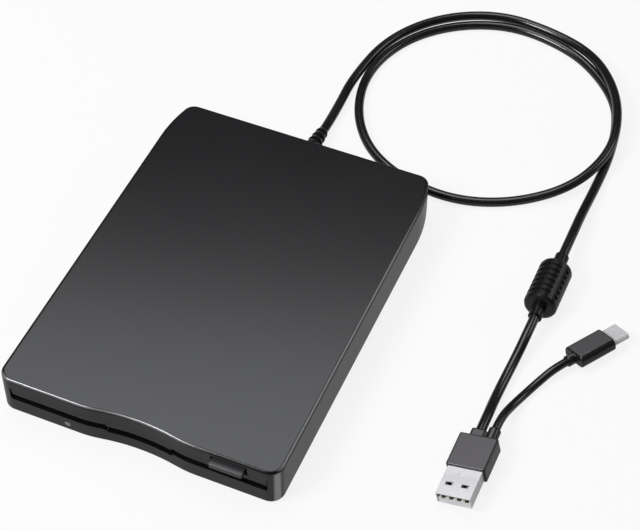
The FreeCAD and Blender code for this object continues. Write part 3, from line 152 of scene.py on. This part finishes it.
def tintOf(material, value, dark, light):
    ramp = addNode(material, "ShaderNodeValToRGB")
    for stop, place, color in zip(ramp.color_ramp.elements, noiseSpan["tint"], (dark, light)):
        stop.position = place
        stop.color = (*color, 1)
    wire(material, value, ramp.inputs["Fac"])
    return ramp.outputs["Color"]


def unevenGloss(material, value, rough, uneven):
    low, high = rough - uneven, rough + uneven
    feed(material, "Roughness", spreadValue(material, value, low, high, *noiseSpan["gloss"]))


def addBump(material, value, strength, depth):
    bump = addNode(material, "ShaderNodeBump")
    bump.inputs["Strength"].default_value = strength
    bump.inputs["Distance"].default_value = depth
    wire(material, value, bump.inputs["Height"])
    feed(material, "Normal", bump.outputs["Normal"])
    return bump


# Share of a surface that faces along a fixed direction of the piece, from 0 to 1.
def facingShare(material, normal, s):
    product = addNode(material, "ShaderNodeVectorMath", operation="DOT_PRODUCT")
    product.inputs[1].default_value = s["way"]
    wire(material, normal, product.inputs[0])
    return spreadValue(material, product.outputs["Value"], 0.0, 1.0, s["low"], s["high"])


def ownNormal(material):
    return addNode(material, "ShaderNodeTexCoord").outputs["Normal"]


def kindsOf(s):
    return {name: {**s["shared"], **own} for name, own in s["kinds"].items()}


# Case plastic: polished top, grained walls, and painted highlights on the front rim, right rim and
# front right corner, where the edges are paler, rougher and part metallic.
caseSettings = {
    "dark": (0.0045, 0.0045, 0.0055),
    "light": (0.0060, 0.0060, 0.0070),
    "patches": 38,
    # Pale colour painted on the edges as a highlight.
    "highlightTint": (0.33, 0.33, 0.34),
    "rough": 0.22,
    "wallRough": 0.27,
    "highlightRough": 0.30,
    "highlightMetal": 0.5,
    "grain": 1500,
    "grainDepth": 0.00003,
    "topGrain": 0.03,
    "wallGrain": 0.35,
    "top": {"way": (0, 0, 1), "low": 0.3, "high": 0.7},
    # Painted highlights: the front rim fading out towards the right, the right rim fading out towards
    # the rear, and the front right corner.
    "paintedHighlights": {
        "frontRim": {"way": (-0.28, -0.66, 0.70), "low": 0.87, "high": 0.94,
                     "along": "X", "none": 0.030, "full": 0.010, "most": 0.56},
        "rightRim": {"way": (0.62, 0.0, 0.78), "low": 0.90, "high": 0.97,
                     "along": "Y", "none": 0.070, "full": 0.030, "most": 0.66},
        "rightCorner": {"way": (0.77, -0.64, 0.0), "low": 0.950, "high": 0.990,
                        "along": "X", "none": 0.040, "full": 0.046, "most": 1.0},
    },
}


# Share of one painted edge highlight: how far the surface faces its way, faded along one axis.
def paintedHighlightShare(material, s):
    facing = facingShare(material, ownNormal(material), s)
    place = addNode(material, "ShaderNodeTexCoord")
    parts = addNode(material, "ShaderNodeSeparateXYZ")
    wire(material, place.outputs["Object"], parts.inputs["Vector"])
    fade = spreadValue(material, parts.outputs[s["along"]], 0.0, s["most"], s["none"], s["full"])
    return joinValues(material, "MULTIPLY", facing, fade)


def casePlastic(name, s):
    material = newSurface(name, s["light"], s["rough"])
    broad = noiseOf(material, s["patches"], noiseDetail["broad"])
    tint = tintOf(material, broad, s["dark"], s["light"])
    top = facingShare(material, ownNormal(material), s["top"])
    bump = addBump(material, noiseOf(material, s["grain"]), s["topGrain"], s["grainDepth"])
    grain = spreadValue(material, top, s["wallGrain"], s["topGrain"])
    wire(material, grain, bump.inputs["Strength"])
    # Shares of the painted edge highlights, joined by their maximum.
    highlightShares = [paintedHighlightShare(material, edge) for edge in s["paintedHighlights"].values()]
    highlightShare = highlightShares[0]
    for share in highlightShares[1:]:
        highlightShare = joinValues(material, "MAXIMUM", highlightShare, share)
    # Base colour: random tint, mixed towards the pale painted highlight colour on those edges.
    feed(material, "Base Color", mixColors(material, highlightShare, tint, s["highlightTint"]))
    faceRough = spreadValue(material, top, s["wallRough"], s["rough"])
    highlightEdgeRough = spreadValue(material, highlightShare, s["rough"], s["highlightRough"])
    feed(material, "Roughness", joinValues(material, "MAXIMUM", faceRough, highlightEdgeRough))
    feed(material, "Metallic", spreadValue(material, highlightShare, 0.0, s["highlightMetal"]))
    return material


# Plug vinyl: broad top faces matt and coloured greyer as a painted sheen, edges and sides polished and
# nearly black.
plugSettings = {
    "shared": {
        "low": 0.955,
        "high": 0.985,
        "patches": 90,
        "mottle": 0.9,
        "polish": 0.24,
        "mattRough": 0.42,
        "grain": 2600,
        "bump": 0.12,
        "depth": 0.00002,
        "bevelSamples": 8,
    },
    "kinds": {
        # Each top face colour is a painted sheen, greyer than the near-black vinyl of the sides.
        "plugSkinA": {"way": (-0.225, 0.0, 0.974), "edge": 0.0010,
                      "matt": (0.100, 0.093, 0.098), "bright": (0.009, 0.008, 0.009)},
        "plugSkinC": {"way": (-0.221, 0.144, 0.9646), "edge": 0.0008,
                      "matt": (0.084, 0.079, 0.082), "bright": (0.008, 0.008, 0.008)},
    },
}


def plugVinyl(name, s):
    material = newSurface(name, s["bright"], s["mattRough"])
    bevel = addNode(material, "ShaderNodeBevel", samples=s["bevelSamples"])
    bevel.inputs["Radius"].default_value = s["edge"]
    rounded = bevel.outputs["Normal"]
    share = facingShare(material, rounded, s)
    broad = noiseOf(material, s["patches"], noiseDetail["broad"])
    mottle = spreadValue(material, broad, s["mottle"], 1.0)
    # Greyer painted sheen on the top faces, mottled at random.
    sheenShare = joinValues(material, "MULTIPLY", share, mottle)
    feed(material, "Base Color", mixColors(material, sheenShare, s["bright"], s["matt"]))
    feed(material, "Roughness", spreadValue(material, share, s["polish"], s["mattRough"]))
    bump = addBump(material, noiseOf(material, s["grain"]), s["bump"], s["depth"])
    wire(material, rounded, bump.inputs["Normal"])
    return material


# Moulded plastics, rubber and vinyl: fine spark grain, slightly uneven tint and gloss.
plasticSettings = {
    "shared": {
        "grain": 2600,
        "grainDetail": noiseDetail["fine"],
        "patches": 38,
        "uneven": 0.03,
        "bump": 0.15,
        "depth": 0.00002,
        "specular": 0.5,
        "coat": 0.0,
        "coatRough": 0.08,
    },
    "kinds": {
        "cordSkin": {"dark": (0.006, 0.006, 0.007), "light": (0.010, 0.010, 0.011), "rough": 0.23,
                     "uneven": 0.05, "coat": 0.3, "grain": 900, "grainDetail": noiseDetail["broad"],
                     "patches": 60, "bump": 0.12, "depth": 0.00003},
        "baseSkin": {"dark": (0.020, 0.020, 0.021), "light": (0.026, 0.026, 0.027), "rough": 0.55,
                     "bump": 0.3},
        "doorSkin": {"dark": (0.008, 0.008, 0.009), "light": (0.0105, 0.0105, 0.0115), "rough": 0.42},
        "buttonSkin": {"dark": (0.038, 0.038, 0.040), "light": (0.046, 0.046, 0.048), "rough": 0.34},
        "footRubber": {"dark": (0.020, 0.020, 0.020), "light": (0.030, 0.030, 0.030), "rough": 0.8,
                       "bump": 0.4, "specular": 0.3},
        "lampGlass": {"dark": (0.20, 0.20, 0.20), "light": (0.26, 0.26, 0.25), "rough": 0.3},
        "beadSkin": {"dark": (0.006, 0.006, 0.0065), "light": (0.009, 0.009, 0.0095), "rough": 0.30,
                     "bump": 0.2, "specular": 0.35},
        "reliefVinyl": {"dark": (0.005, 0.005, 0.0055), "light": (0.008, 0.008, 0.0085), "rough": 0.3},
        "plugWhite": {"dark": (0.72, 0.72, 0.71), "light": (0.80, 0.80, 0.79), "rough": 0.4},
        "plugBlack": {"dark": (0.02, 0.02, 0.02), "light": (0.03, 0.03, 0.03), "rough": 0.5},
        "magnetGrey": {"dark": (0.05, 0.05, 0.05), "light": (0.08, 0.08, 0.08), "rough": 0.7},
        "boardGreen": {"dark": (0.010, 0.075, 0.030), "light": (0.018, 0.11, 0.045), "rough": 0.35,
                       "grain": 900},
        "chipBlack": {"dark": (0.018, 0.018, 0.018), "light": (0.028, 0.028, 0.028), "rough": 0.55},
        "acetalCream": {"dark": (0.66, 0.65, 0.60), "light": (0.76, 0.75, 0.70), "rough": 0.42},
        "glassFilled": {"dark": (0.030, 0.030, 0.032), "light": (0.045, 0.045, 0.048), "rough": 0.5},
        "headCeramic": {"dark": (0.55, 0.53, 0.48), "light": (0.66, 0.64, 0.58), "rough": 0.2},
        "cableFilm": {"dark": (0.55, 0.50, 0.40), "light": (0.68, 0.63, 0.52), "rough": 0.35},
        "wireRed": {"dark": (0.35, 0.02, 0.02), "light": (0.45, 0.03, 0.03), "rough": 0.4},
    },
}


def mouldedPlastic(name, s):
    material = newSurface(name, s["light"], s["rough"], specular=s["specular"])
    shader = shaderOf(material)
    shader.inputs["Coat Weight"].default_value = s["coat"]
    shader.inputs["Coat Roughness"].default_value = s["coatRough"]
    broad = noiseOf(material, s["patches"], noiseDetail["broad"])
    feed(material, "Base Color", tintOf(material, broad, s["dark"], s["light"]))
    unevenGloss(material, broad, s["rough"], s["uneven"])
    addBump(material, noiseOf(material, s["grain"], s["grainDetail"]), s["bump"], s["depth"])
    return material


# Metals: rolling or turning lines along one direction.
metalSettings = {
    "shared": {
        "stretch": (1, 40, 1),
        "grain": 60,
        "metallic": 1.0,
        "uneven": 0.08,
        "bump": 0.08,
        "depth": 0.00003,
    },
    "kinds": {
        "nickelShell": {"dark": (0.72, 0.71, 0.72), "light": (0.78, 0.77, 0.78), "rough": 0.32,
                        "stretch": (1, 6, 1), "grain": 30, "metallic": 0.25},
        "contactGold": {"dark": (0.13, 0.12, 0.05), "light": (0.20, 0.18, 0.08), "rough": 0.35},
        "zincSheet": {"dark": (0.48, 0.48, 0.47), "light": (0.60, 0.60, 0.58), "rough": 0.38},
        "tinSheet": {"dark": (0.55, 0.55, 0.55), "light": (0.66, 0.66, 0.66), "rough": 0.34,
                     "stretch": (40, 1, 1)},
        "springWire": {"dark": (0.40, 0.40, 0.40), "light": (0.52, 0.52, 0.52), "rough": 0.35},
        "turnedSteel": {"dark": (0.50, 0.50, 0.50), "light": (0.62, 0.62, 0.62), "rough": 0.28,
                        "stretch": (1, 1, 30)},
        "blackScrew": {"dark": (0.06, 0.06, 0.06), "light": (0.10, 0.10, 0.10), "rough": 0.4},
        "bronze": {"dark": (0.45, 0.30, 0.14), "light": (0.58, 0.42, 0.22), "rough": 0.45},
        "coilCopper": {"dark": (0.50, 0.20, 0.08), "light": (0.72, 0.34, 0.16), "rough": 0.3,
                       "stretch": (1, 1, 1), "grain": 4000},
    },
}


def linedMetal(name, s):
    material = newSurface(name, s["light"], s["rough"], metallic=s["metallic"])
    lines = noiseOf(material, s["grain"], noiseDetail["lines"], s["stretch"])
    feed(material, "Base Color", tintOf(material, lines, s["dark"], s["light"]))
    unevenGloss(material, lines, s["rough"], s["uneven"])
    addBump(material, lines, s["bump"], s["depth"])
    return material


def makeFinishes():
    made = {"caseSkin": casePlastic("caseSkin", caseSettings)}
    makers = ((plugVinyl, plugSettings), (mouldedPlastic, plasticSettings), (linedMetal, metalSettings))
    for maker, settings in makers:
        for name, s in kindsOf(settings).items():
            made[name] = maker(name, s)
    return made


finishes = makeFinishes()
print("finishes mixed:", len(finishes))


# Cords: points of each route in metres, thickness and length, and what hangs on each.
upperRoute = [
    (-0.0020, 0.0910, 0.00305), (-0.0020, 0.0960, 0.00248), (-0.0024, 0.1080, 0.0018),
    (-0.0032, 0.1245, 0.0018), (0.0008, 0.1508, 0.0018), (0.0159, 0.1716, 0.0018),
    (0.0383, 0.1828, 0.0018), (0.0615, 0.1808, 0.0018), (0.0803, 0.1720, 0.0041),
    (0.0935, 0.1555, 0.0064), (0.1006, 0.1385, 0.0070), (0.1029, 0.1200, 0.0063),
    (0.0952, 0.1000, 0.0045), (0.0780, 0.0865, 0.0018), (0.0580, 0.0785, 0.0018),
    (0.0375, 0.0800, 0.0018), (0.0192, 0.0885, 0.0018), (0.0068, 0.1040, 0.0018),
    (0.0010, 0.1235, 0.0018), (0.0029, 0.1418, 0.0018), (0.0118, 0.1590, 0.0018),
    (0.0274, 0.1720, 0.0018), (0.0470, 0.1782, 0.0018), (0.0703, 0.1736, 0.0018),
    (0.0852, 0.1638, 0.0018), (0.0961, 0.1512, 0.0018), (0.1007, 0.1369, 0.0018),
    (0.1025, 0.1205, 0.0018), (0.1024, 0.1040, 0.0020), (0.1022, 0.0890, 0.0039),
    (0.1026, 0.0750, 0.0060), (0.1026, 0.0642, 0.0060),
]
lowerRoute = [
    (0.1026, 0.0338, 0.0060), (0.1026, 0.0265, 0.0060), (0.1020, 0.0175, 0.0032),
    (0.1013, 0.0075, 0.0018), (0.1011, -0.0030, 0.0022), (0.101599, -0.0120, 0.004268),
    (0.101599, -0.0190, 0.004268),
]
branchRoute = [
    (0.106198, -0.0170, 0.00533), (0.106198, -0.0114, 0.00533), (0.1072, -0.0039, 0.0027),
    (0.1098, 0.0046, 0.0015), (0.1129, 0.0119, 0.0022), (0.11587, 0.01719, 0.003608),
    (0.118713, 0.021549, 0.003608),
]
cordSettings = {
    "shared": {
        "skin": "cordSkin",
        "farEnd": "plug",
        "order": 3,
        "steps": 10,
        "roundness": 5,
    },
    "kinds": {
        "cordUpper": {"route": upperRoute, "thick": 0.0036, "length": 0.580, "node": "cord_upper",
                      "slot": "cord_vinyl", "farEnd": "fitting", "carries": ["ferrite_bead"]},
        "cordLower": {"route": lowerRoute, "thick": 0.0036, "length": 0.0535, "node": "cord_lower",
                      "slot": "cord_vinyl_low",
                      "carries": ["usb_a_overmold", "usb_a_shell", "usb_a_tongue", "usb_a_contacts"]},
        "cordBranch": {"route": branchRoute, "thick": 0.0030, "length": 0.0418, "node": "cord_branch",
                       "slot": "cord_vinyl_branch",
                       "carries": ["usb_c_overmold", "usb_c_shell", "usb_c_tongue"]},
    },
}


def cordCurve(name, s):
    data = bpy.data.curves.new(name, "CURVE")
    data.dimensions = "3D"
    data.resolution_u = s["steps"]
    data.bevel_depth = s["thick"] / 2
    data.bevel_resolution = s["roundness"]
    data.use_fill_caps = True
    line = data.splines.new("NURBS")
    line.points.add(len(s["route"]) - 1)
    for point, place in zip(line.points, s["route"]):
        point.co = (*place, 1)
    line.order_u = s["order"]
    line.use_endpoint_u = True
    line.use_smooth = True
    data.materials.append(finishes[s["skin"]])
    return data


def makeCord(name, s):
    piece = bpy.data.objects.new(name, cordCurve(name, s))
    scene.collection.objects.link(piece)
    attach(piece, "drive")
    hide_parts(s["node"])


for cordName, settings in kindsOf(cordSettings).items():
    makeCord(cordName, settings)
print("cords laid")


# The pieces of the frame that wear each finish.
finishPieces = {
    "caseSkin": ["top_cover"],
    "baseSkin": ["bottom_cover"],
    "footRubber": ["rubber_feet"],
    "doorSkin": ["dust_door"],
    "buttonSkin": ["eject_button"],
    "lampGlass": ["led_window"],
    "reliefVinyl": ["strain_relief", "cord_upper", "cord_lower", "cord_branch"],
    "beadSkin": ["ferrite_bead"],
    "plugSkinA": ["usb_a_overmold"],
    "plugSkinC": ["usb_c_overmold"],
    "plugWhite": ["usb_a_tongue"],
    "plugBlack": ["usb_c_tongue"],
    "nickelShell": ["usb_a_shell", "usb_c_shell"],
    "contactGold": ["usb_a_contacts"],
    "zincSheet": ["chassis_frame", "eject_slider"],
    "tinSheet": ["top_shield", "disk_carrier", "spindle_rotor", "stepper_motor"],
    "springWire": ["door_spring", "slider_springs"],
    "turnedSteel": ["chassis_screws", "carrier_pins", "lever_post", "spindle_hub", "spindle_shaft",
                    "drive_pin", "lead_screw", "guide_rod", "arm_pin"],
    "blackScrew": ["cover_screws"],
    "bronze": ["spindle_bearing", "screw_bearing"],
    "coilCopper": ["stator_coils"],
    "magnetGrey": ["rotor_magnet"],
    "boardGreen": ["led_board", "stator_board", "control_board", "usb_board"],
    "chipBlack": ["sensor_block", "control_chips", "usb_chip"],
    "acetalCream": ["led", "shutter_lever", "write_protect_pin", "disk_in_pin", "density_pin",
                    "cable_socket"],
    "glassFilled": ["rod_clips", "head_carriage", "head_arm"],
    "headCeramic": ["lower_head", "upper_head"],
    "cableFilm": ["flat_cable"],
    "wireRed": ["cord_wires"],
}


def dressFrame(s):
    for finish, names in s.items():
        for name in names:
            for place in nodes[name].material_slots:
                place.material = finishes[finish]
    print("finishes on", sum(len(names) for names in s.values()), "nodes")


dressFrame(finishPieces)


# Case shell: the top cover with the ends of its two hinge ears flush with the rounded front corners.
shellSettings = {
    "centreX": 0.0463,
    "centreY": -0.064825,
    "round": 0.0050,
    "slack": 0.00005,
    "upright": 0.5,
}


def flushCorners(mesh, s):
    normals = [corner.vector.copy() for corner in mesh.corner_normals]
    moved = set()
    for vertex in mesh.vertices:
        away = Vector((abs(vertex.co.x) - s["centreX"], vertex.co.y - s["centreY"]))
        if away.x > 0 > away.y and away.length > s["round"] + s["slack"]:
            away *= s["round"] / away.length
            vertex.co.x = math.copysign(s["centreX"] + away.x, vertex.co.x)
            vertex.co.y = s["centreY"] + away.y
            moved.add(vertex.index)
    for face in mesh.polygons:
        if abs(face.normal.z) < s["upright"] and moved.intersection(face.vertices):
            for corner in face.loop_indices:
                place = mesh.vertices[mesh.loops[corner].vertex_index].co
                middle = math.copysign(s["centreX"], place.x)
                normals[corner] = Vector((place.x - middle, place.y - s["centreY"], 0)).normalized()
    mesh.normals_split_custom_set(normals)
    return len(moved)


def makeCaseShell(s, skin):
    mesh = nodes["top_cover"].data.copy()
    mesh.name = "caseShell"
    count = flushCorners(mesh, s)
    mesh.materials[0] = skin
    shell = bpy.data.objects.new("caseShell", mesh)
    scene.collection.objects.link(shell)
    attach(shell, "drive")
    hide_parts("top_cover")
    print("case shell made,", count, "points set flush")


makeCaseShell(shellSettings, finishes["caseSkin"])


# Studio: pale paper floor that is nearly white to the camera and to mirror rays and keeps its
# soft shadow, three soft lamps, and a white background.
studioSettings = {
    "floorSize": 6.0,
    "floorGrey": 0.80,
    "floorUneven": 0.01,
    "floorPatches": 5,
    "floorRough": 0.9,
    "floorWhite": 0.86,
    "floorGloss": 0.90,
    "glossLevel": 0.46,
    "worldGrey": 0.06,
    "lampTint": (0.965, 0.98, 1.0),
    "lamps": {
        "topBox": {"place": (-0.300, 0.380, 1.215), "aim": (-0.19, 0, 0), "size": (0.85, 0.85),
                   "power": 7.1},
        "sideBox": {"place": (0.85, 0.65, 0.66), "aim": (0, 0, 0), "size": (0.5, 0.5),
                    "power": 1.6},
        "frontBox": {"place": (-0.534, -0.628, 0.872), "aim": (0, 0, 0), "size": (0.46, 0.40),
                     "power": 11.0},
    },
}


def floorPaper(s):
    material = newSurface("floorPaper", (s["floorGrey"],) * 3, s["floorRough"])
    dark = (s["floorGrey"] - s["floorUneven"],) * 3
    light = (s["floorGrey"] + s["floorUneven"],) * 3
    feed(material, "Base Color", tintOf(material, noiseOf(material, s["floorPatches"]), dark, light))
    path = addNode(material, "ShaderNodeLightPath")
    share = spreadValue(material, path.outputs["Is Camera Ray"], 0.0, s["floorWhite"])
    for kind in ("Is Glossy Ray", "Is Transmission Ray"):
        mirrored = spreadValue(material, path.outputs[kind], 0.0, s["floorGloss"])
        share = joinValues(material, "MAXIMUM", share, mirrored)
    level = spreadValue(material, path.outputs["Is Camera Ray"], s["glossLevel"], 1.0)
    glow = addNode(material, "ShaderNodeEmission")
    wire(material, level, glow.inputs["Strength"])
    mix = addNode(material, "ShaderNodeMixShader")
    wire(material, share, mix.inputs["Fac"])
    wire(material, shaderOf(material).outputs["BSDF"], mix.inputs[1])
    wire(material, glow.outputs["Emission"], mix.inputs[2])
    output = material.node_tree.nodes["Material Output"]
    wire(material, mix.outputs["Shader"], output.inputs["Surface"])
    return material


def makeFloor(s):
    half = s["floorSize"] / 2
    corners = [(-half, -half, 0), (half, -half, 0), (half, half, 0), (-half, half, 0)]
    mesh = bpy.data.meshes.new("studioFloor")
    mesh.from_pydata(corners, [], [(0, 1, 2, 3)])
    mesh.materials.append(floorPaper(s))
    floor = bpy.data.objects.new("studioFloor", mesh)
    scene.collection.objects.link(floor)


def makeLamps(s):
    for name, lamp in s["lamps"].items():
        data = bpy.data.lights.new(name, "AREA")
        data.shape = "RECTANGLE"
        data.size, data.size_y = lamp["size"]
        data.energy = lamp["power"]
        data.color = s["lampTint"]
        piece = bpy.data.objects.new(name, data)
        scene.collection.objects.link(piece)
        piece.location = lamp["place"]
        way = Vector(lamp["aim"]) - Vector(lamp["place"])
        piece.rotation_euler = way.to_track_quat("-Z", "Y").to_euler()


def makeWorld(s):
    world = bpy.data.worlds.new("studioAir")
    scene.world = world
    world.use_nodes = True
    tree = world.node_tree
    back = tree.nodes["Background"]
    back.inputs["Color"].default_value = (s["worldGrey"],) * 3 + (1,)
    white = tree.nodes.new("ShaderNodeBackground")
    white.inputs["Color"].default_value = (1, 1, 1, 1)
    path = tree.nodes.new("ShaderNodeLightPath")
    mix = tree.nodes.new("ShaderNodeMixShader")
    tree.links.new(path.outputs["Is Camera Ray"], mix.inputs["Fac"])
    tree.links.new(back.outputs["Background"], mix.inputs[1])
    tree.links.new(white.outputs["Background"], mix.inputs[2])
    tree.links.new(mix.outputs["Shader"], tree.nodes["World Output"].inputs["Surface"])


makeFloor(studioSettings)
makeLamps(studioSettings)
makeWorld(studioSettings)
scene.view_settings.view_transform = "Standard"
print("studio lit")
